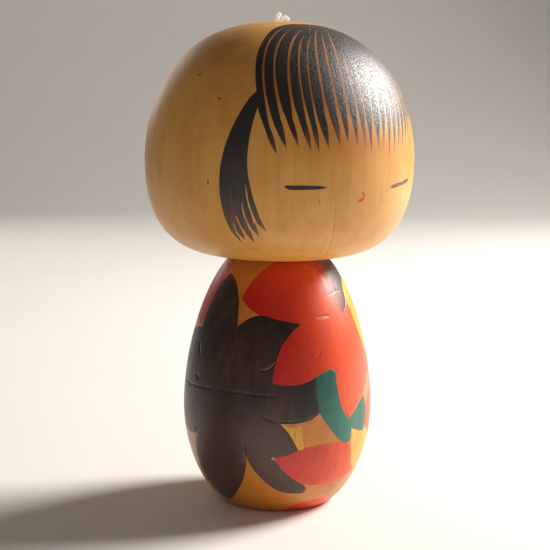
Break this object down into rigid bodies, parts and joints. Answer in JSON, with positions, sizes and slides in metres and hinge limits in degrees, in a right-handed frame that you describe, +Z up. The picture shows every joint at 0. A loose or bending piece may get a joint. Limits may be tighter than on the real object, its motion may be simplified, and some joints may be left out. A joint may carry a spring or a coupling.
{
  "type": "kokeshi doll",
  "caption": "Turned wooden kokeshi doll: a wide round head on a neck dowel turns on a pear-shaped painted body with a flat base.",
  "frame": {"origin": "centre of the flat base that the doll stands on", "axes": "+Z up along the turning axis, face towards -Y, the doll's left hand side towards +X"},
  "size_m": [0.0834, 0.0834, 0.1532],
  "materials": {
    "painted_body": "brush-painted petals on ochre wood under gloss varnish",
    "varnished_head": "honey-coloured wood with painted black hair under satin varnish",
    "bare_wood": "bare turned wood",
    "white_cotton": "white cotton cord, frayed at its cut ends"
  },
  "bodies": {
    "body": {"body": "painted_body"},
    "head": {"head": "varnished_head", "neck_dowel": "bare_wood", "crown_cord": "white_cotton"}
  },
  "joints": [
    {"name": "head_turn", "type": "hinge", "parent": "body", "child": "head", "pos_m": [0, 0, 0.078], "axis": [0, 0, 1], "continuous": true}
  ]
}
